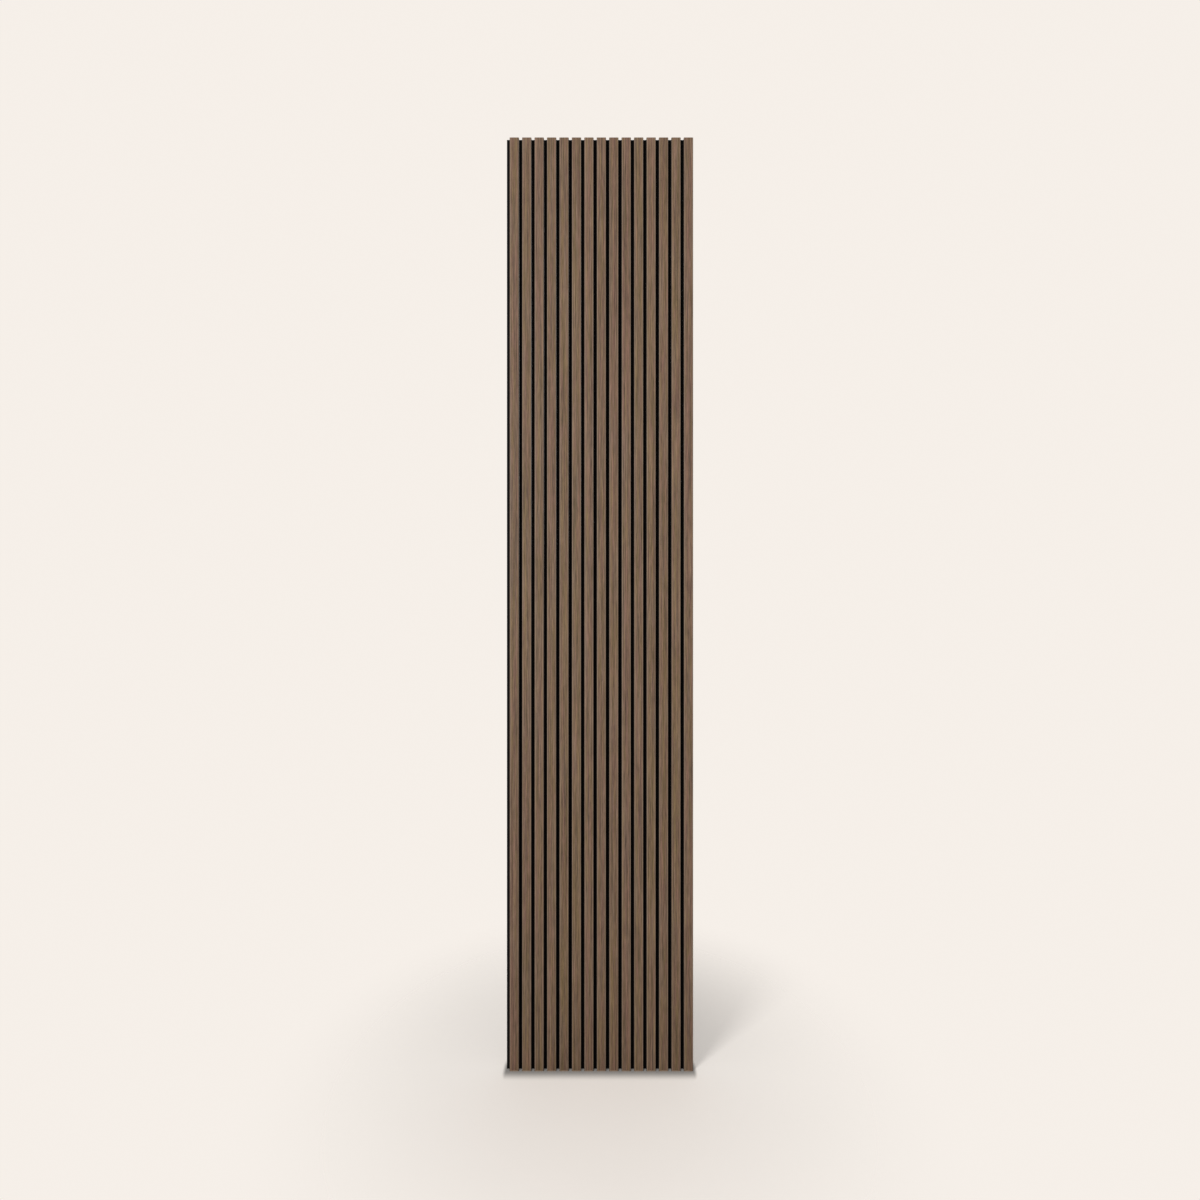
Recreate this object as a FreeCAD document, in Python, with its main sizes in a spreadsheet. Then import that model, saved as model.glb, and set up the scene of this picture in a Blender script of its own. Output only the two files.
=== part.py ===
import FreeCAD, Part
import os
import Sketcher
from enum import IntEnum

# Acoustic slat wall panel: veneered slats, glued and stapled from behind to a felt board.
# +Z runs up the slats, the front faces -Y, and the origin is the centre of the wall face.

doc = FreeCAD.newDocument("slat_wall_panel")

# Driving dimensions in millimetres, each in a cell of its own under its alias
DIMENSIONS = {
    "panel_length": 3000,
    "slat_count": 15,
    "slat_width": 30,
    "slat_depth": 12,
    "slat_gap": 10,
    "arris_radius": 2,
    "felt_thickness": 9,
    "staple_rows": 6,
    "staple_end_distance": 75,
    "staple_crown": 10,
    "staple_wire_width": 1.2,
    "staple_wire_thickness": 0.8,
    "staple_bite": 6,
    "slit_clearance": 0.05,
}
sheet = doc.addObject("Spreadsheet::Sheet", "sizes")
for row, (alias, value) in enumerate(DIMENSIONS.items(), start=1):
    sheet.set(f"A{row}", alias)
    sheet.set(f"B{row}", str(value))
    sheet.setAlias(f"B{row}", alias)
doc.recompute()

# The felt reaches one gap past the first slat, so the next panel carries the spacing on.
PITCH = "(sizes.slat_width + sizes.slat_gap)"
PANEL_WIDTH = f"(sizes.slat_count * {PITCH})"
STAPLE_REACH = "(sizes.felt_thickness + sizes.staple_bite)"
SLIT_WIDTH = "(sizes.staple_wire_width + 2 * sizes.slit_clearance)"

# Numbers that a sketch gives to the two ends of a line, counted from 1, and to its own origin
START, END = IntEnum("LineEnd", "START END")
SKETCH_ORIGIN = (-1, 1)


def slat_centre(number):
    """X of a slat's centre line, counted from 1 at the left; the last slat ends flush with the felt."""
    return f"({number} - sizes.slat_count / 2) * {PITCH} - sizes.slat_width / 2"


def new_body(label):
    """A body that stands with its lower end half the panel's length below the origin."""
    body = doc.addObject("PartDesign::Body", label)
    body.Label = label
    body.setExpression("Placement.Base.z", "-sizes.panel_length / 2")
    return body


def origin_feature(body, role):
    return next(feature for feature in body.Origin.OriginFeatures if feature.Role == role)


def plan_sketch(body, name, **offset):
    """A sketch square to the slats' length, moved by the expressions given for x, y and z."""
    sketch = body.newObject("Sketcher::SketchObject", name)
    sketch.AttachmentSupport = [(origin_feature(body, "XY_Plane"), "")]
    sketch.MapMode = "FlatFace"
    for axis, expression in offset.items():
        sketch.setExpression(f"AttachmentOffset.Base.{axis}", expression)
    return sketch


def constrain(sketch, kind, *where):
    return sketch.addConstraint(Sketcher.Constraint(kind, *where))


def dimension(sketch, name, kind, *where, expression):
    """A named dimension that is bound to an expression on the sheet."""
    index = constrain(sketch, kind, *where, float(sketch.evalExpression(expression)))
    sketch.renameConstraint(index, name)
    sketch.setExpression(f"Constraints.{name}", expression)


def square_outline(sketch, corners):
    """Lines round the corners, each kept level or upright; returns their numbers in order."""
    points = [FreeCAD.Vector(x, y, 0) for x, y in corners]
    ends = points[1:] + points[:1]
    lines = [sketch.addGeometry(Part.LineSegment(a, b)) for a, b in zip(points, ends)]
    for line, following, a, b in zip(lines, lines[1:] + lines[:1], points, ends):
        constrain(sketch, "Coincident", line, END, following, START)
        constrain(sketch, "Horizontal" if a.y == b.y else "Vertical", line)
    return lines


def board_outline(sketch, width, depth):
    """A rectangle with its back on the sketch's X axis, reaching forward by the depth."""
    half = float(sketch.evalExpression(width)) / 2
    front = -float(sketch.evalExpression(depth))
    back, right, _, _ = square_outline(
        sketch, [(-half, 0), (half, 0), (half, front), (-half, front)]
    )
    constrain(sketch, "Symmetric", back, START, back, END, *SKETCH_ORIGIN)
    dimension(sketch, "width", "DistanceX", back, START, back, END, expression=width)
    dimension(sketch, "depth", "DistanceY", right, END, right, START, expression=depth)


def staple_outline(sketch, clearance):
    """The staple's U: crown flush with the wall face, legs through the felt and into the slat."""
    outside = DIMENSIONS["staple_crown"] / 2
    inside = outside - DIMENSIONS["staple_wire_thickness"]
    under_crown = -DIMENSIONS["staple_wire_thickness"]
    tip = -DIMENSIONS["felt_thickness"] - DIMENSIONS["staple_bite"]
    crown, right, right_tip, _, under, _, left_tip, left = square_outline(
        sketch,
        [
            (-outside, 0),
            (outside, 0),
            (outside, tip),
            (inside, tip),
            (inside, under_crown),
            (-inside, under_crown),
            (-inside, tip),
            (-outside, tip),
        ],
    )
    constrain(sketch, "Symmetric", crown, START, crown, END, *SKETCH_ORIGIN)
    constrain(sketch, "Equal", right, left)
    constrain(sketch, "Equal", right_tip, left_tip)
    span = f"sizes.staple_crown + 2 * {clearance}"
    leg = f"sizes.staple_wire_thickness + 2 * {clearance}"
    seat = "sizes.staple_wire_thickness"
    reach = f"{STAPLE_REACH} + {clearance}"
    dimension(sketch, "span", "DistanceX", crown, START, crown, END, expression=span)
    dimension(sketch, "leg", "DistanceX", right_tip, END, right_tip, START, expression=leg)
    dimension(sketch, "seat", "DistanceY", under, START, crown, END, expression=seat)
    dimension(sketch, "reach", "DistanceY", right, END, right, START, expression=reach)


def extrude(body, kind, sketch, length, side):
    """A Pad or Pocket of a sketch, up from it or to both sides of it."""
    feature = body.newObject(f"PartDesign::{kind}", f"{sketch.Name}_{kind.lower()}")
    feature.Profile = sketch
    feature.SideType = side
    feature.setExpression("Length", length)
    return feature


def front_arrises(feature):
    """Names of the long edges at the front of an extruded slat."""
    front = min(vertex.Y for vertex in feature.Shape.Vertexes)
    names = []
    for index, edge in enumerate(feature.Shape.Edges, start=1):
        lower, upper = edge.Vertexes
        if lower.X == upper.X and lower.Y == upper.Y == front:
            names.append(f"Edge{index}")
    return names


def staple_rows(body, feature):
    """Repeats one slat's staple feature in rows up the panel."""
    pattern = body.newObject("PartDesign::LinearPattern", f"{feature.Name}_rows")
    pattern.Originals = [feature]
    pattern.Direction = (origin_feature(body, "Z_Axis"), [""])
    pattern.setExpression("Length", "sizes.panel_length - 2 * sizes.staple_end_distance")
    pattern.setExpression("Occurrences", "sizes.staple_rows")
    body.Tip = pattern
    return pattern


def staple_grid(body, feature):
    """Repeats a staple feature in rows up the panel and across it from slat to slat."""
    pattern = staple_rows(body, feature)
    pattern.Direction2 = (origin_feature(body, "X_Axis"), [""])
    pattern.setExpression("Length2", f"(sizes.slat_count - 1) * {PITCH}")
    pattern.setExpression("Occurrences2", "sizes.slat_count")


# Felt backing board, one needled sheet cut square, slit where the staples pierce it
felt = new_body("felt_backing")
felt_plan = plan_sketch(felt, "felt_plan")
board_outline(felt_plan, PANEL_WIDTH, "sizes.felt_thickness")
extrude(felt, "Pad", felt_plan, "sizes.panel_length", "One side")
felt_slit = plan_sketch(felt, "felt_slit", x=slat_centre(1), z="sizes.staple_end_distance")
staple_outline(felt_slit, "sizes.slit_clearance")
staple_grid(felt, extrude(felt, "Pocket", felt_slit, SLIT_WIDTH, "Symmetric"))

# Slats of veneered board from left to right, flat on the felt, their front arrises rounded
for number in range(1, DIMENSIONS["slat_count"] + 1):
    slat = new_body(f"slat_{number:02d}")
    slat.setExpression("Placement.Base.x", slat_centre(number))
    slat.setExpression("Placement.Base.y", "-sizes.felt_thickness")
    slat_plan = plan_sketch(slat, f"{slat.Label}_plan")
    board_outline(slat_plan, "sizes.slat_width", "sizes.slat_depth")
    bar = extrude(slat, "Pad", slat_plan, "sizes.panel_length", "One side")
    doc.recompute()
    arris = slat.newObject("PartDesign::Fillet", f"{slat.Label}_arris")
    arris.Base = (bar, front_arrises(bar))
    arris.setExpression("Radius", "sizes.arris_radius")
    slat_slit = plan_sketch(
        slat, f"{slat.Label}_slit", y="sizes.felt_thickness", z="sizes.staple_end_distance"
    )
    staple_outline(slat_slit, "sizes.slit_clearance")
    staple_rows(slat, extrude(slat, "Pocket", slat_slit, SLIT_WIDTH, "Symmetric"))

# Staples of flat steel wire, driven from the wall side along each slat's centre line
staples = new_body("staples")
staple_plan = plan_sketch(staples, "staple_plan", x=slat_centre(1), z="sizes.staple_end_distance")
staple_outline(staple_plan, "0")
staple_grid(staples, extrude(staples, "Pad", staple_plan, "sizes.staple_wire_width", "Symmetric"))

# Every feature built, every pocket cut, and every solid sound, before anything is written
doc.recompute()
sub_parts = doc.findObjects("PartDesign::Body")
for item in doc.Objects:
    if "Invalid" in item.State or "Error" in item.State:
        raise RuntimeError(f"{item.Label} did not build")
for pocket in doc.findObjects("PartDesign::Pocket"):
    if pocket.Shape.Volume >= pocket.BaseFeature.Shape.Volume:
        raise RuntimeError(f"{pocket.Label} cuts nothing")
for sub_part in sub_parts:
    if sub_part.Shape.isNull() or not sub_part.Shape.isValid():
        raise RuntimeError(f"{sub_part.Label} has no sound shape")

os.makedirs("parts", exist_ok=True)
for sub_part in sub_parts:
    sub_part.Shape.exportStep(f"parts/{sub_part.Label}.step")
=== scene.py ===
import math

import bpy
import mathutils
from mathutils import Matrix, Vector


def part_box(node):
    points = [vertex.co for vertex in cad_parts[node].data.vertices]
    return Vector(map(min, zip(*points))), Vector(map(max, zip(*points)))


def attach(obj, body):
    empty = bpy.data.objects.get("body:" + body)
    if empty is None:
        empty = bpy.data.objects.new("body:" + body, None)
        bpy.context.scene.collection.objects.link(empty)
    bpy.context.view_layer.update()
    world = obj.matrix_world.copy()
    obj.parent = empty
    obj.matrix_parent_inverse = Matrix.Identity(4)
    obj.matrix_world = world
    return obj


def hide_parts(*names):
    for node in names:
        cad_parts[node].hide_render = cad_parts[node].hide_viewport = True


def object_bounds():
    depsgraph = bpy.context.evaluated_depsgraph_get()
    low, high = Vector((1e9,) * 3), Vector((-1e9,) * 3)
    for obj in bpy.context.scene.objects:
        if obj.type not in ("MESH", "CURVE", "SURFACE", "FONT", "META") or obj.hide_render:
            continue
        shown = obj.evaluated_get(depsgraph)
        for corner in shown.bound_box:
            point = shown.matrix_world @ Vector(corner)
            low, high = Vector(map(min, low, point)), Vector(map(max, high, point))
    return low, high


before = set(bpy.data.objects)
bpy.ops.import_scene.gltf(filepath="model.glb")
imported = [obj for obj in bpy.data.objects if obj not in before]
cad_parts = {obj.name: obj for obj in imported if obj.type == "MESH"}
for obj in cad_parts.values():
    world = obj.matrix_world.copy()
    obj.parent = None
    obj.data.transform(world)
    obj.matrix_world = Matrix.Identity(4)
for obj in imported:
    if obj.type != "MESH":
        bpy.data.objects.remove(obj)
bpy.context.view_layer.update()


# Felt backing
# A 9 mm board of black needled polyester felt that carries every slat and shows between them.
# It is cut from a wide sheet, so its faces are matted fibre and its edges are plain cut fibre.

MM = 0.001


class Link:
    """One output of a node. Arithmetic on it adds Math nodes to the tree it belongs to."""

    def __init__(self, builder, node, output):
        self.builder = builder
        self.node = node
        self.socket = next((s for s in node.outputs if s.identifier == output), None)

    def out(self, output):
        """Another output of the same node."""
        return Link(self.builder, self.node, output)

    def __add__(self, other):
        return self.builder.math("ADD", self, other)

    def __radd__(self, other):
        return self.builder.math("ADD", other, self)

    def __sub__(self, other):
        return self.builder.math("SUBTRACT", self, other)

    def __rsub__(self, other):
        return self.builder.math("SUBTRACT", other, self)

    def __mul__(self, other):
        return self.builder.math("MULTIPLY", self, other)

    def __rmul__(self, other):
        return self.builder.math("MULTIPLY", other, self)

    def __neg__(self):
        return self.builder.math("MULTIPLY", self, -1.0)

    def __abs__(self):
        return self.builder.math("ABSOLUTE", self)

    def at_least(self, other):
        return self.builder.math("MAXIMUM", self, other)

    def between(self, low, high):
        """Low where this is 0, high where it is 1, and in proportion between them."""
        return low + (high - low) * self


class Builder:
    """A node tree being filled in, for a finish, a shape or the light of the room."""

    def __init__(self, tree):
        self.tree = tree

    def node(self, kind, output, sockets=None, **settings):
        """Adds a node, makes its settings, feeds its sockets and returns one of its outputs."""
        node = self.tree.nodes.new(kind)
        for name, value in settings.items():
            setattr(node, name, value)
        for name, value in (sockets or {}).items():
            self.feed(next(s for s in node.inputs if s.identifier == name), value)
        return Link(self, node, output)

    def feed(self, socket, value):
        """Gives a socket a link or a plain value."""
        if isinstance(value, Link):
            self.tree.links.new(value.socket, socket)
        else:
            socket.default_value = value

    def math(self, operation, first, second=0.0):
        sockets = {"Value": first, "Value_001": second}
        return self.node("ShaderNodeMath", "Value", sockets, operation=operation)

    def axis(self, vector, letter):
        """The X, Y or Z of a vector."""
        return self.node("ShaderNodeSeparateXYZ", letter, {"Vector": vector})

    def vector(self, **axes):
        """A vector of the given X, Y and Z, 0 where none is given."""
        return self.node("ShaderNodeCombineXYZ", "Vector", axes)


class Finish(Builder):
    """A material whose colour, roughness and relief are worked out by nodes."""

    def __init__(self, name, **constants):
        self.material = bpy.data.materials.new(name)
        self.material.use_nodes = True
        super().__init__(self.material.node_tree)
        self.shader = self.tree.nodes["Principled BSDF"]
        self.paint(**constants)

    def paint(self, **values):
        """Feeds the shader's own sockets, which are named here with underscores for spaces."""
        for name, value in values.items():
            self.feed(self.shader.inputs[name.replace("_", " ")], value)

    def place(self):
        """The point being painted, in metres in the panel's own frame."""
        return self.node("ShaderNodeTexCoord", "Object")

    def noise(self, point, size, detail=2.0):
        """Soft noise from 0 to 1 whose blobs measure about size along x, y and z, in metres."""
        scale = tuple(1 / length for length in size)
        stretched = self.node("ShaderNodeMapping", "Vector", {"Vector": point, "Scale": scale})
        sockets = {"Vector": stretched, "Scale": 1.0, "Detail": detail}
        return self.node("ShaderNodeTexNoise", "Fac", sockets)

    def ramp(self, value, low, high, start=0.0, end=1.0):
        """A smooth step: start where value is below low, end where it is above high."""
        sockets = {"Value": value, "From Min": low, "From Max": high, "To Min": start, "To Max": end}
        return self.node("ShaderNodeMapRange", "Result", sockets, interpolation_type="SMOOTHSTEP")

    def mix(self, share, first, second):
        """The first colour, turned into the second by a share from 0 to 1."""
        sockets = {"Factor_Float": share, "A_Color": first, "B_Color": second}
        return self.node("ShaderNodeMix", "Result_Color", sockets, data_type="RGBA")

    def shaded(self, colour, level):
        """A colour made darker or lighter by a level round 1."""
        sockets = {"Vector": colour, "Scale": level}
        return self.node("ShaderNodeVectorMath", "Vector", sockets, operation="SCALE")

    def relief(self, height, depth):
        """Raises the surface by depth metres where height is 1."""
        sockets = {"Height": height, "Distance": depth, "Strength": 1.0}
        return self.node("ShaderNodeBump", "Normal", sockets)


FELT_BLACK = (0.0026, 0.0024, 0.0024, 1.0)
FELT_GREY = (0.0080, 0.0076, 0.0075, 1.0)
FELT_DUST = (0.0230, 0.0215, 0.0205, 1.0)
FELT_ROUGHNESS = (0.9, 1.0)

# Sizes of the matted patches, of single fibres and of the pricks that the needles leave
MATTED_PATCH = (40 * MM, 12 * MM, 40 * MM)
FIBRE_LENGTH = 3.5 * MM
FIBRE_THICKNESS = 0.35 * MM
NEEDLE_PRICK = (1.6 * MM, 1.6 * MM, 1.6 * MM)
NAP_HEIGHT = 0.5 * MM

# Levels of the noise between which each kind of fibre or prick comes up, and how far it covers
MATTING_SHARE = 0.4
GREY_FIBRE = (0.50, 1.00)
LOOSE_FIBRE = (0.60, 0.78)
LOOSE_FIBRE_COVER = 0.8
PRICK_HOLE = (0.60, 0.72)
PRICK_COVER = 0.7
PRICK_RIM = (0.55, 0.72)
PRICK_DENT = 0.4

# Painted shade: the felt is darker at its front, which shows in the gaps between the slats, and
# lighter to its back by a factor that follows the matting
FRONT_SHADE_DEPTH = (-8 * MM, -1 * MM)
BACK_LIGHTER_BY = (2.0, 4.0)

felt = Finish(
    "black_needled_felt",
    Specular_IOR_Level=0.05,
    Sheen_Weight=0.03,
    Sheen_Roughness=0.6,
)
felt_place = felt.place()
matting = felt.noise(felt_place, MATTED_PATCH, detail=3.0)
upright_fibre = felt.noise(felt_place, (FIBRE_THICKNESS, FIBRE_THICKNESS, FIBRE_LENGTH))
level_fibre = felt.noise(felt_place, (FIBRE_LENGTH, FIBRE_THICKNESS, FIBRE_THICKNESS))
fibre = upright_fibre.at_least(level_fibre)
pricks = felt.noise(felt_place, NEEDLE_PRICK, detail=1.0)

grey_share = felt.ramp(MATTING_SHARE * matting + fibre, *GREY_FIBRE)
loose_share = LOOSE_FIBRE_COVER * felt.ramp(fibre, *LOOSE_FIBRE)
prick_share = PRICK_COVER * felt.ramp(pricks, *PRICK_HOLE)
# Painted shade: the felt's front face, seen in the gaps between the slats, is kept darker than its
# back
felt_shade_level = felt.ramp(felt.axis(felt_place, "Y"), *FRONT_SHADE_DEPTH, 1.0, matting.between(*BACK_LIGHTER_BY))
felt_colour = felt.mix(grey_share, FELT_BLACK, FELT_GREY)
felt_colour = felt.mix(loose_share, felt_colour, FELT_DUST)
felt_colour = felt.mix(prick_share, felt_colour, FELT_BLACK)
felt.paint(
    Base_Color=felt.shaded(felt_colour, felt_shade_level),
    Roughness=fibre.between(*FELT_ROUGHNESS),
    Normal=felt.relief(fibre - PRICK_DENT * felt.ramp(pricks, *PRICK_RIM), NAP_HEIGHT),
)

felt_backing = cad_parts["felt_backing"]
felt_backing.data.materials.clear()
felt_backing.data.materials.append(felt.material)


# Slats
# Fifteen straight battens of fibreboard, each wrapped on its front and sides with brown oak veneer.
# The front arrises are sanded round, and they and the foot carry a painted highlight; the sides carry
# painted shade and the ends are sawn bare.
# Every batten is glued with its flat back to the felt.

SLAT_COUNT = 15
SLAT_SEED = 7
ARRIS_RADIUS = 2.0 * MM
ARRIS_STEPS = 5
WELD_DISTANCE = 0.02 * MM

first_low, first_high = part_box("slat_01")
SLAT_WIDTH = first_high.x - first_low.x
SLAT_DEPTH = first_high.y - first_low.y
SLAT_LENGTH = first_high.z - first_low.z

OAK_RED = (0.206, 0.115, 0.080, 1.0)
OAK_OLIVE = (0.182, 0.119, 0.058, 1.0)
OAK_GREY = (0.194, 0.129, 0.088, 1.0)
OAK_PORE = (0.060, 0.034, 0.021, 1.0)
# Painted highlight along the front arrises and the foot
OAK_EDGE_HIGHLIGHT = (0.335, 0.233, 0.160, 1.0)
# Painted shade on the slat sides, in a darker and a paler tone
SIDE_SHADE_DARK = (0.040, 0.027, 0.019, 1.0)
SIDE_SHADE_PALE = (0.066, 0.045, 0.031, 1.0)

# Each slat is cut from another stretch of veneer, up to this many metres away
VENEER_STRETCH = 5.0

# Figure of the veneer: width across the slat, length along it, and detail of the noise
WANDER = (60 * MM, 800 * MM, 1.0)
FIGURE = {
    "growth": (11 * MM, 700 * MM, 2.0),
    "hue_drift": (12 * MM, 500 * MM, 1.0),
    "hue_fleck": (4 * MM, 50 * MM, 2.0),
    "greying": (6 * MM, 210 * MM, 2.0),
    "streak": (2.0 * MM, 360 * MM, 1.0),
    "fleck": (1.6 * MM, 45 * MM, 2.0),
    "line": (0.9 * MM, 160 * MM, 2.0),
    "strand": (0.35 * MM, 25 * MM, 2.0),
    "pore": (0.28 * MM, 8 * MM, 1.0),
    # Patches in which the painted edge highlight and the painted side shade vary
    "edge_patch": (5 * MM, 60 * MM, 3.0),
}
WANDER_REACH = 8 * MM

# How far each part of the figure turns the hue, lightens the wood and raises the grain
HUE_WEIGHTS = {"hue_drift": 0.45, "hue_fleck": 0.55}
HUE_BY_SLAT = 0.06
LEVEL_WEIGHTS = {"growth": 0.12, "streak": 1.70, "fleck": 1.70, "line": 1.80, "strand": 0.50}
LEVEL_BY_SLAT = 0.04
DARKEST_LEVEL = 0.3
STRAND_HEIGHT = 0.6
LINE_HEIGHT = 0.4
PORE_DEPTH = 0.9
GRAIN_HEIGHT = 0.12 * MM
SIDE_SMOOTHING = 0.7

# Levels of the noise between which each change of colour comes up, and how far it covers
RED_TO_OLIVE = (0.36, 0.64)
GREYED = (0.42, 0.72)
GREYED_COVER = 0.8
PORE_RIM = (0.60, 0.70)
PORE_COVER = 0.6
PORE_GROWTH = (0.35, 0.60, 1.0, 0.4)
EDGE_HIGHLIGHT_COVER = (0.30, 0.70, 0.4, 0.9)

# Where the painted highlight on the arris and on the foot, and the painted shade on the side, begin
# and are full, inwards from the edge
ARRIS_BAND = (3.8 * MM, 2.8 * MM)
FOOT_BAND = (4.0 * MM, 3.0 * MM)
SIDE_BAND = (1.7 * MM, 1.0 * MM)

OAK_ROUGHNESS = 0.60
STREAK_ROUGHER = 0.20
PORE_ROUGHER = 0.16
ARRIS_SMOOTHER = 0.10
SIDE_ROUGHER = 0.15


def carried(finish, name, output):
    """A value that the slat's mesh carries at each of its points."""
    return finish.node("ShaderNodeAttribute", output, attribute_name=name)


def moved(finish, point, offset):
    sockets = {"Vector": point, "Vector_001": offset}
    return finish.node("ShaderNodeVectorMath", "Vector", sockets, operation="ADD")


def drawn_out(finish, point, width, length, detail):
    """Noise that is drawn out along the slat."""
    return finish.noise(point, (width, width, length), detail)


def edge_band(finish, distance, edge, begin, full):
    """A smooth step from 0 to 1 close to an edge, which lies at that distance from the middle."""
    return finish.ramp(distance, edge - begin, edge - full)


oak = Finish("brown_oak_veneer", Specular_IOR_Level=0.3)
slat_place = carried(oak, "slat_place", "Vector")
slat_tone = carried(oak, "slat_tone", "Fac") - 0.5
veneer_place = moved(oak, oak.place(), carried(oak, "slat_shift", "Vector"))
wander = drawn_out(oak, veneer_place, *WANDER) - 0.5
veneer_place = moved(oak, veneer_place, oak.vector(X=WANDER_REACH * wander))
figure = {name: drawn_out(oak, veneer_place, *size) for name, size in FIGURE.items()}
pore = oak.ramp(figure["pore"], *PORE_RIM)

oak_hue = HUE_BY_SLAT * slat_tone
for name, weight in HUE_WEIGHTS.items():
    oak_hue = oak_hue + weight * figure[name]
oak_level = 1.0 + LEVEL_BY_SLAT * slat_tone
for name, weight in LEVEL_WEIGHTS.items():
    oak_level = oak_level + weight * (figure[name] - 0.5)

across = abs(oak.axis(slat_place, "X"))
downward = -oak.axis(slat_place, "Z")
arris = edge_band(oak, across, SLAT_WIDTH / 2, *ARRIS_BAND)
foot_edge = edge_band(oak, downward, SLAT_LENGTH / 2, *FOOT_BAND)
# Painted highlight: a pale rim along the front arrises and the foot, in patches
edge_highlight = arris.at_least(foot_edge) * oak.ramp(figure["edge_patch"], *EDGE_HIGHLIGHT_COVER)
# Painted shade: the sides are darkened as shade falls in the gaps between the slats
side = edge_band(oak, across, SLAT_WIDTH / 2, *SIDE_BAND)

greyed = GREYED_COVER * oak.ramp(figure["greying"], *GREYED)
open_pore = PORE_COVER * pore * oak.ramp(figure["growth"], *PORE_GROWTH)
oak_colour = oak.mix(oak.ramp(oak_hue, *RED_TO_OLIVE), OAK_RED, OAK_OLIVE)
oak_colour = oak.mix(greyed, oak_colour, OAK_GREY)
oak_colour = oak.shaded(oak_colour, oak_level.at_least(DARKEST_LEVEL))
oak_colour = oak.mix(open_pore, oak_colour, OAK_PORE)
# The painted highlight on the arrises and the foot, then the painted shade on the sides
oak_colour = oak.mix(edge_highlight, oak_colour, OAK_EDGE_HIGHLIGHT)
oak_colour = oak.mix(side, oak_colour, oak.mix(figure["edge_patch"], SIDE_SHADE_DARK, SIDE_SHADE_PALE))

grain = STRAND_HEIGHT * figure["strand"] + LINE_HEIGHT * figure["line"] - PORE_DEPTH * pore
oak_roughness = OAK_ROUGHNESS + STREAK_ROUGHER * (figure["streak"] - 0.5) + PORE_ROUGHER * pore
oak.paint(
    Base_Color=oak_colour,
    Roughness=oak_roughness - ARRIS_SMOOTHER * arris + SIDE_ROUGHER * side,
    Normal=oak.relief(grain * (1.0 - SIDE_SMOOTHING * side), GRAIN_HEIGHT),
)

BOARD_PALE = (0.330, 0.225, 0.135, 1.0)
BOARD_DARK = (0.175, 0.110, 0.062, 1.0)
GLUE_LINE = (0.090, 0.058, 0.036, 1.0)
VENEER_EDGE = (0.150, 0.098, 0.062, 1.0)
BOARD_ROUGHNESS = (0.75, 0.95)

# The board is pressed denser and darker towards its two faces, and its chips show where it is sawn
BOARD_CHIP = (0.5 * MM, 0.5 * MM, 0.5 * MM)
SAW_MARK = (9 * MM, 0.4 * MM, 9 * MM)
SAW_MARK_HEIGHT = 0.7
SAWN_HEIGHT = 0.2 * MM
SKIN_SHARE = 0.55
CHIP_SHARE = 0.9
CHIP_LEVEL = 0.4

# Along the rim of the end: the sides' painted shade colour at the two sides, a glue line and the
# veneer's edge at the front
SIDE_SHADE_RIM = (0.5 * MM, 0.0)
VENEER_THICKNESS = 0.6 * MM
GLUE_THICKNESS = 0.15 * MM
VENEER_BLUR = 0.1 * MM

sawn = Finish("sawn_fibreboard_end", Specular_IOR_Level=0.2)
end_place = carried(sawn, "slat_place", "Vector")
end_x = abs(sawn.axis(end_place, "X"))
end_y = sawn.axis(end_place, "Y")
chips = sawn.noise(end_place, BOARD_CHIP, detail=3.0)
saw_marks = sawn.noise(end_place, SAW_MARK)
skin = sawn.ramp(abs(end_y + SLAT_DEPTH / 2), SLAT_DEPTH / 4, SLAT_DEPTH / 2)
into_veneer = VENEER_THICKNESS - SLAT_DEPTH - end_y

end_side_shade = edge_band(sawn, end_x, SLAT_WIDTH / 2, *SIDE_SHADE_RIM)
end_colour = sawn.mix(SKIN_SHARE * skin + CHIP_SHARE * (chips - CHIP_LEVEL), BOARD_PALE, BOARD_DARK)
# The sides' painted shade colour, carried onto the end at its two sides
end_colour = sawn.mix(end_side_shade, end_colour, SIDE_SHADE_DARK)
end_colour = sawn.mix(sawn.ramp(into_veneer, -GLUE_THICKNESS, 0.0), end_colour, GLUE_LINE)
end_colour = sawn.mix(sawn.ramp(into_veneer, 0.0, VENEER_BLUR), end_colour, VENEER_EDGE)
sawn.paint(
    Base_Color=end_colour,
    Roughness=chips.between(*BOARD_ROUGHNESS),
    Normal=sawn.relief(chips + SAW_MARK_HEIGHT * saw_marks, SAWN_HEIGHT),
)


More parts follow.
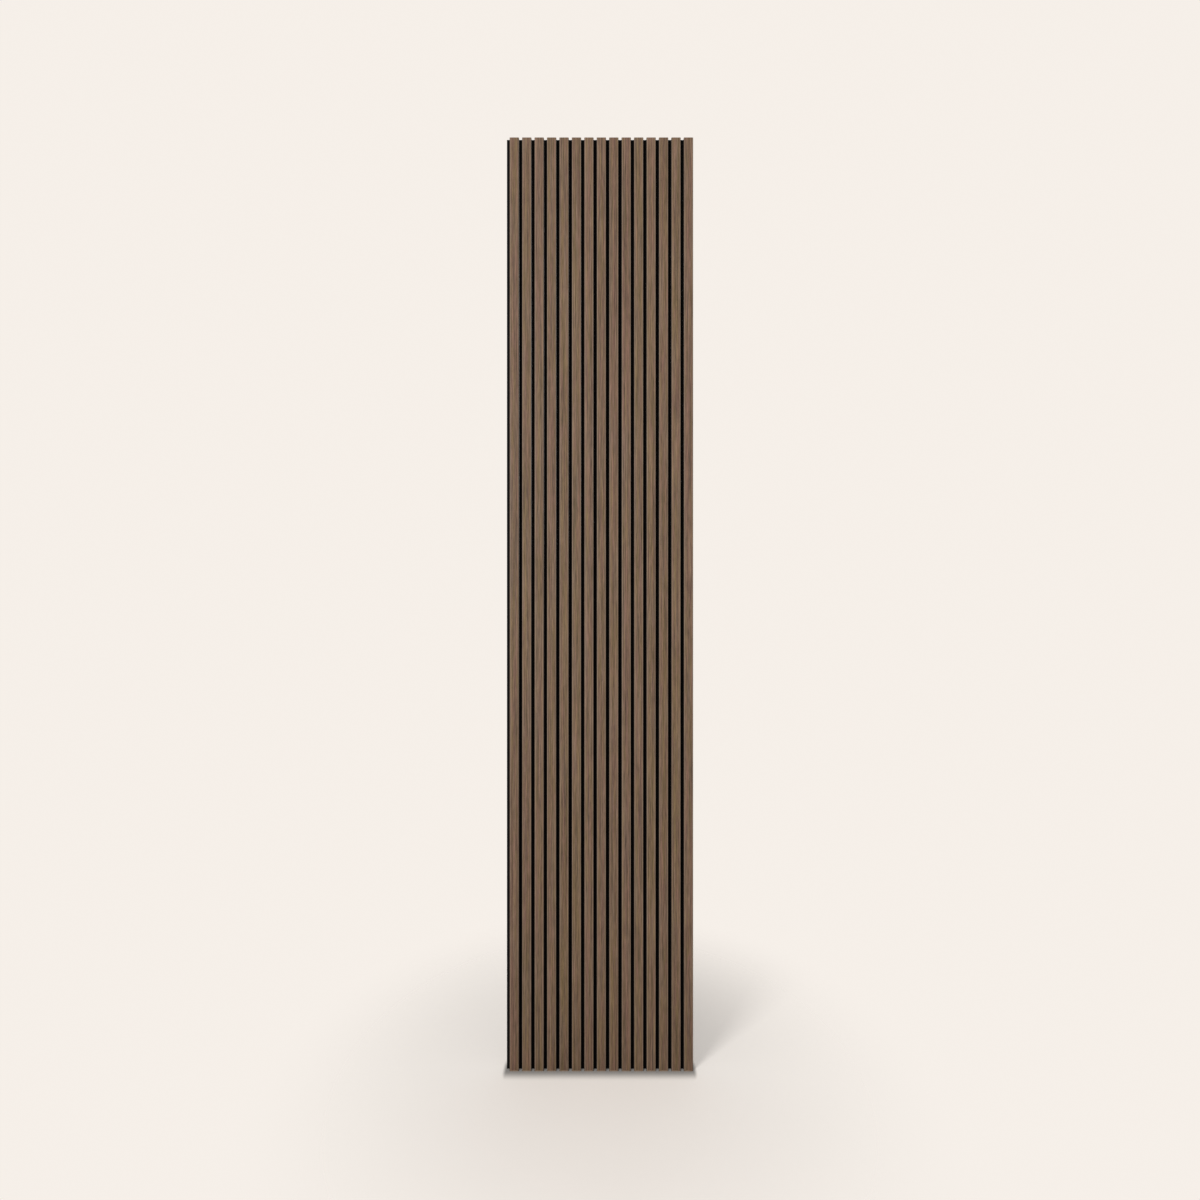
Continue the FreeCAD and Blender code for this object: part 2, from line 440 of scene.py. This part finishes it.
class Shape(Builder):
    """A Geometry Nodes tree with named inputs, run on an empty mesh to give one plain mesh."""

    def __init__(self, name, **inputs):
        super().__init__(bpy.data.node_groups.new(name, "GeometryNodeTree"))
        for label, kind in inputs.items():
            self.tree.interface.new_socket(label, in_out="INPUT", socket_type="NodeSocket" + kind)
        self.tree.interface.new_socket("Shape", in_out="OUTPUT", socket_type="NodeSocketGeometry")
        self.entry = self.tree.nodes.new("NodeGroupInput")

    def identifier(self, label):
        items = self.tree.interface.items_tree
        return next(i.identifier for i in items if i.in_out == "INPUT" and i.name == label)

    def given(self, label):
        """The named input of the tree."""
        return Link(self, self.entry, self.identifier(label))

    def position(self):
        return self.node("GeometryNodeInputPosition", "Position")

    def rectangle(self, width, height):
        sockets = {"Width": width, "Height": height}
        return self.node("GeometryNodeCurvePrimitiveQuadrilateral", "Curve", sockets)

    def rounded(self, curve, radius, steps):
        """A curve whose corners are rounded in a few straight steps."""
        sockets = {"Curve": curve, "Count": steps, "Radius": radius, "Limit Radius": True}
        return self.node("GeometryNodeFilletCurve", "Curve", sockets, mode="POLY")

    def swept(self, path, section):
        """A solid bar with this section along a path."""
        sockets = {"Curve": path, "Profile Curve": section, "Fill Caps": True}
        return self.node("GeometryNodeCurveToMesh", "Mesh", sockets)

    def placed(self, geometry, offset, turn=(0.0, 0.0, 0.0)):
        sockets = {"Geometry": geometry, "Translation": offset, "Rotation": turn}
        return self.node("GeometryNodeTransform", "Geometry", sockets)

    def drawn(self, kind, output, **sockets):
        """A random value that is the same in every run, drawn by the number and the seed."""
        return self.node("FunctionNodeRandomValue", output, sockets, data_type=kind)

    def carrying(self, geometry, name, value, kind):
        """The geometry with a value stored at each of its points for the material to read."""
        sockets = {"Geometry": geometry, "Name": name, "Value": value}
        settings = {"data_type": kind, "domain": "POINT"}
        return self.node("GeometryNodeStoreNamedAttribute", "Geometry", sockets, **settings)

    def close(self, geometry, *coats):
        """Ends the tree: instances become real, then each coat is a material and where it goes."""
        shape = self.node("GeometryNodeRealizeInstances", "Geometry", {"Geometry": geometry})
        for material, where in coats:
            sockets = {"Geometry": shape, "Selection": where, "Material": material}
            shape = self.node("GeometryNodeSetMaterial", "Geometry", sockets)
        leave = self.tree.nodes.new("NodeGroupOutput")
        self.tree.links.new(shape.socket, leave.inputs[0])

    def make(self, name, **values):
        """Runs the tree with these values and returns a new object that holds the plain mesh."""
        scratch = bpy.data.objects.new(name + "_tree", bpy.data.meshes.new(name + "_tree"))
        bpy.context.scene.collection.objects.link(scratch)
        modifier = scratch.modifiers.new("shape", "NODES")
        modifier.node_group = self.tree
        for label, value in values.items():
            modifier[self.identifier(label)] = value
        graph = bpy.context.evaluated_depsgraph_get()
        mesh = bpy.data.meshes.new_from_object(scratch.evaluated_get(graph), depsgraph=graph)
        mesh.name = name
        bpy.data.objects.remove(scratch)
        piece = bpy.data.objects.new(name, mesh)
        bpy.context.scene.collection.objects.link(piece)
        return piece


batten = Shape(
    "veneered_batten",
    Width="Float",
    Depth="Float",
    Length="Float",
    Arris="Float",
    Centre="Vector",
    Number="Int",
    Seed="Int",
    Veneer="Material",
    Core="Material",
)

# The section, round at its two front corners, is swept up the slat and set with its back at 0
front_corner = batten.math("LESS_THAN", batten.axis(batten.position(), "Y"), 0.0)
section = batten.rectangle(batten.given("Width"), batten.given("Depth"))
section = batten.rounded(section, front_corner * batten.given("Arris"), ARRIS_STEPS)
half_length = 0.5 * batten.given("Length")
ends = {"Start": batten.vector(Z=-half_length), "End": batten.vector(Z=half_length)}
bar = batten.swept(batten.node("GeometryNodeCurvePrimitiveLine", "Curve", ends), section)
weld = {"Geometry": bar, "Distance": WELD_DISTANCE}
bar = batten.node("GeometryNodeMergeByDistance", "Geometry", weld)
bar = batten.placed(bar, batten.vector(Y=-0.5 * batten.given("Depth")))

# Each point keeps its place on the slat, the slat's stretch of veneer and the slat's tone
veneer_shift = batten.drawn(
    "FLOAT_VECTOR",
    "Value",
    Min=(-VENEER_STRETCH, -VENEER_STRETCH, -VENEER_STRETCH),
    Max=(VENEER_STRETCH, VENEER_STRETCH, VENEER_STRETCH),
    ID=batten.given("Number"),
    Seed=batten.given("Seed"),
)
tone = batten.drawn("FLOAT", "Value_001", ID=batten.given("Number"), Seed=batten.given("Seed") + 1)
bar = batten.carrying(bar, "slat_place", batten.position(), "FLOAT_VECTOR")
bar = batten.carrying(bar, "slat_shift", veneer_shift, "FLOAT_VECTOR")
bar = batten.carrying(bar, "slat_tone", tone, "FLOAT")
bar = batten.placed(bar, batten.given("Centre"))

facing_z = batten.axis(batten.node("GeometryNodeInputNormal", "Normal"), "Z")
sawn_end = batten.math("GREATER_THAN", abs(facing_z), 0.5)
batten.close(bar, (batten.given("Veneer"), True), (batten.given("Core"), sawn_end))

for number in range(1, SLAT_COUNT + 1):
    slat_node = f"slat_{number:02d}"
    low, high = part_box(slat_node)
    slat = batten.make(
        f"veneered_slat_{number:02d}",
        Width=SLAT_WIDTH,
        Depth=SLAT_DEPTH,
        Length=SLAT_LENGTH,
        Arris=ARRIS_RADIUS,
        Centre=((low.x + high.x) / 2, high.y, (low.z + high.z) / 2),
        Number=number,
        Seed=SLAT_SEED,
        Veneer=oak.material,
        Core=sawn.material,
    )
    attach(slat, "root")
    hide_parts(slat_node)


# Staples
# Six rows of wide-crown staples, driven from the back through the felt into the middle of each slat.
# They are flat galvanised wire, bent with small round corners, and their crowns sit flush in the felt.

STAPLE_ROWS = 6
STAPLE_CROWN = 10 * MM
WIRE_WIDTH = 1.2 * MM
WIRE_THICKNESS = 0.8 * MM
BEND_RADIUS = 0.9 * MM
BEND_STEPS = 4

staples_low, staples_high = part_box("staples")
STAPLE_LEG = staples_high.y - staples_low.y

ZINC_PALE = (0.62, 0.62, 0.61, 1.0)
ZINC_DULL = (0.36, 0.37, 0.38, 1.0)
ZINC_STAIN = (0.20, 0.15, 0.10, 1.0)
ZINC_ROUGHNESS = (0.32, 0.57)

# Sizes of the zinc's spangle, of the lines left by drawing the wire, and of stained patches
SPANGLE = (1.2 * MM, 1.2 * MM, 1.2 * MM)
DRAWN_LINE = (4 * MM, 0.15 * MM, 0.15 * MM)
DRAWN_LINE_HEIGHT = 0.03 * MM
STAIN_PATCH = (6 * MM, 6 * MM, 6 * MM)
DULL_SPANGLE = (0.35, 0.65)
STAINED = (0.58, 0.75)
STAIN_COVER = 0.6

zinc = Finish("galvanised_staple_wire")
wire_place = zinc.place()
spangle = zinc.noise(wire_place, SPANGLE)
drawn_lines = zinc.noise(wire_place, DRAWN_LINE)
stain = STAIN_COVER * zinc.ramp(zinc.noise(wire_place, STAIN_PATCH, detail=3.0), *STAINED)
zinc_colour = zinc.mix(zinc.ramp(spangle, *DULL_SPANGLE), ZINC_PALE, ZINC_DULL)
zinc.paint(
    Base_Color=zinc.mix(stain, zinc_colour, ZINC_STAIN),
    Metallic=1.0 - stain,
    Roughness=spangle.between(*ZINC_ROUGHNESS),
    Normal=zinc.relief(drawn_lines, DRAWN_LINE_HEIGHT),
)

staple_field = Shape(
    "staple_field",
    Crown="Float",
    Leg="Float",
    Wire_Width="Float",
    Wire_Thickness="Float",
    Bend="Float",
    Columns="Int",
    Rows="Int",
    Field_Width="Float",
    Field_Height="Float",
    Centre="Vector",
    Wire="Material",
)

# The wire runs through four points, up one leg, along the crown and down the other leg
WIRE_POINTS = 4
MIDDLE_POINT = (WIRE_POINTS - 1) / 2
half_crown = 0.5 * (staple_field.given("Crown") - staple_field.given("Wire_Thickness"))
crown_y = -0.5 * staple_field.given("Wire_Thickness")
tip_y = -staple_field.given("Leg")
point_number = staple_field.node("GeometryNodeInputIndex", "Index")
right_leg = staple_field.math("GREATER_THAN", point_number, MIDDLE_POINT)
on_crown = staple_field.math("LESS_THAN", abs(point_number - MIDDLE_POINT), 1.0)
wire_point = staple_field.vector(
    X=half_crown * right_leg.between(-1.0, 1.0),
    Y=on_crown.between(tip_y, crown_y),
)
straight_wire = staple_field.node("GeometryNodeCurvePrimitiveLine", "Curve")
resample = {"Curve": straight_wire, "Count": WIRE_POINTS}
wire_path = staple_field.node("GeometryNodeResampleCurve", "Curve", resample)
bend_to = {"Geometry": wire_path, "Position": wire_point}
wire_path = staple_field.node("GeometryNodeSetPosition", "Geometry", bend_to)
wire_path = staple_field.rounded(wire_path, staple_field.given("Bend"), BEND_STEPS)
wire_section = staple_field.rectangle(
    staple_field.given("Wire_Thickness"),
    staple_field.given("Wire_Width"),
)
staple = staple_field.swept(wire_path, wire_section)

# One staple stands on each point of an upright grid, a column to a slat
grid = {
    "Size X": staple_field.given("Field_Width"),
    "Size Y": staple_field.given("Field_Height"),
    "Vertices X": staple_field.given("Columns"),
    "Vertices Y": staple_field.given("Rows"),
}
UPRIGHT = (math.radians(90), 0.0, 0.0)
driving_points = staple_field.node("GeometryNodeMeshGrid", "Mesh", grid)
driving_points = staple_field.placed(driving_points, staple_field.given("Centre"), UPRIGHT)
drive = {"Points": driving_points, "Instance": staple}
driven = staple_field.node("GeometryNodeInstanceOnPoints", "Instances", drive)
staple_field.close(driven, (staple_field.given("Wire"), True))

last_low, last_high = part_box(f"slat_{SLAT_COUNT:02d}")
first_column = (first_low.x + first_high.x) / 2
last_column = (last_low.x + last_high.x) / 2
middle_column = (first_column + last_column) / 2
staples = staple_field.make(
    "driven_staples",
    Crown=STAPLE_CROWN,
    Leg=STAPLE_LEG,
    Wire_Width=WIRE_WIDTH,
    Wire_Thickness=WIRE_THICKNESS,
    Bend=BEND_RADIUS,
    Columns=SLAT_COUNT,
    Rows=STAPLE_ROWS,
    Field_Width=last_column - first_column,
    Field_Height=staples_high.z - staples_low.z - WIRE_WIDTH,
    Centre=(middle_column, staples_high.y, (staples_low.z + staples_high.z) / 2),
    Wire=zinc.material,
)
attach(staples, "root")
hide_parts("staples")


# Floor, light and camera
# A plain pale floor under the foot of the panel, wide soft light from the left and a level camera.
# The floor is a thin disc that fades out into the backdrop. None of it belongs to the panel.

PALE_WARM = (0.920, 0.866, 0.812, 1.0)
PALE_DULL = (0.900, 0.848, 0.795, 1.0)
FLOOR_BOUNCE = (0.100, 0.085, 0.070, 1.0)
FLOOR_ROUGHNESS = (0.8, 0.9)
FLOOR_GLOW = 0.18
FLOOR_MOTTLE = (0.25, 0.25, 0.25)
FLOOR_REACH = 1.1
FLOOR_SIDES = 96
FADE_FROM = 0.3 * FLOOR_REACH

# The floor is shaded close to the foot, and a third as far at the sides as at front and back
FOOT_SHADE = 0.3
FOOT_SHADE_REACH = 45 * MM
SIDE_NARROWING = 3.0

panel_low, panel_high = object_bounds()
panel_middle = (panel_low + panel_high) / 2
panel_size = panel_high - panel_low


def seen_directly(builder):
    """1 for what the camera sees, itself, mirrored or through glass, and 0 for scattered light."""
    ray = builder.node("ShaderNodeLightPath", "Is Camera Ray")
    return ray.at_least(ray.out("Is Glossy Ray")).at_least(ray.out("Is Transmission Ray"))


def length_of(builder, x, y):
    return builder.math("SQRT", x * x + y * y)


floor_finish = Finish("pale_floor", Specular_IOR_Level=0.1, Emission_Strength=FLOOR_GLOW)
floor_place = floor_finish.place()
floor_x = floor_finish.axis(floor_place, "X")
floor_y = floor_finish.axis(floor_place, "Y")
mottle = floor_finish.noise(floor_place, FLOOR_MOTTLE, detail=3.0)
beside = (abs(floor_x - panel_middle.x) - panel_size.x / 2).at_least(0.0)
before = (abs(floor_y - panel_middle.y) - panel_size.y / 2).at_least(0.0)
from_foot = length_of(floor_finish, SIDE_NARROWING * beside, before)
from_middle = length_of(floor_finish, floor_x, floor_y)
foot_shade = floor_finish.ramp(from_foot, 0.0, FOOT_SHADE_REACH, FOOT_SHADE, 1.0)
floor_colour = floor_finish.mix(mottle, PALE_WARM, PALE_DULL)
floor_colour = floor_finish.mix(seen_directly(floor_finish), FLOOR_BOUNCE, floor_colour)
floor_colour = floor_finish.shaded(floor_colour, foot_shade)
floor_finish.paint(
    Base_Color=floor_colour,
    Roughness=mottle.between(*FLOOR_ROUGHNESS),
    Emission_Color=floor_colour,
    Alpha=floor_finish.ramp(from_middle, FADE_FROM, FLOOR_REACH, 1.0, 0.0),
)

floor_rim = []
for step in range(FLOOR_SIDES):
    turn = 2 * math.pi * step / FLOOR_SIDES
    floor_rim.append((FLOOR_REACH * math.cos(turn), FLOOR_REACH * math.sin(turn), panel_low.z))
floor_mesh = bpy.data.meshes.new("floor")
floor_mesh.from_pydata(floor_rim, [], [list(range(FLOOR_SIDES))])
floor_mesh.materials.append(floor_finish.material)
floor = bpy.data.objects.new("floor", floor_mesh)
bpy.context.scene.collection.objects.link(floor)

ROOM_WHITE = (1.0, 1.0, 1.0, 1.0)
ROOM_LIGHT = 0.34

world = bpy.data.worlds.new("studio")
world.use_nodes = True
world.node_tree.nodes.clear()
bpy.context.scene.world = world
room = Builder(world.node_tree)
backdrop = room.node("ShaderNodeBackground", "Background", {"Color": PALE_WARM, "Strength": 1.0})
glow = room.node("ShaderNodeBackground", "Background", {"Color": ROOM_WHITE, "Strength": ROOM_LIGHT})
light_or_backdrop = {"Fac": seen_directly(room), "Shader": glow, "Shader_001": backdrop}
surroundings = room.node("ShaderNodeMixShader", "Shader", light_or_backdrop)
room.node("ShaderNodeOutputWorld", None, {"Surface": surroundings})


def soft_lamp(name, place, aim, width, height, power):
    """A rectangular lamp that faces a point."""
    lamp_data = bpy.data.lights.new(name, "AREA")
    lamp_data.shape = "RECTANGLE"
    lamp_data.size = width
    lamp_data.size_y = height
    lamp_data.energy = power
    lamp = bpy.data.objects.new(name, lamp_data)
    lamp.location = place
    direction = mathutils.Vector(aim) - mathutils.Vector(place)
    lamp.rotation_euler = direction.to_track_quat("-Z", "Y").to_euler()
    bpy.context.scene.collection.objects.link(lamp)
    return lamp


# The front lamp is turned past the panel, so that only the even edge of its light falls on it
soft_lamp(
    "front_light",
    place=(-3.4, -4.8, 1.3),
    aim=(2.3, -5.3, 0.9),
    width=3.2,
    height=3.2,
    power=460,
)
back_light = soft_lamp(
    "back_light",
    place=(1.6, 4.0, 2.0),
    aim=(0.0, 0.0, 0.0),
    width=4.0,
    height=3.0,
    power=80,
)
back_light.data.use_shadow = False

FRAME_HEIGHT = 3.855
CAMERA_DISTANCE = 2.15
CAMERA_RIGHT = 0.0006
CAMERA_UP = 0.0140
SENSOR = 36.0

camera_data = bpy.data.cameras.new("front_camera")
camera_data.sensor_width = SENSOR
camera_data.lens = SENSOR * CAMERA_DISTANCE / FRAME_HEIGHT
camera_data.dof.use_dof = False
camera = bpy.data.objects.new("front_camera", camera_data)
camera.location = (
    panel_middle.x + CAMERA_RIGHT,
    panel_low.y - CAMERA_DISTANCE,
    panel_middle.z + CAMERA_UP,
)
camera.rotation_euler = (math.radians(90), 0.0, 0.0)
bpy.context.scene.collection.objects.link(camera)
bpy.context.scene.camera = camera
bpy.context.scene.view_settings.view_transform = "Standard"
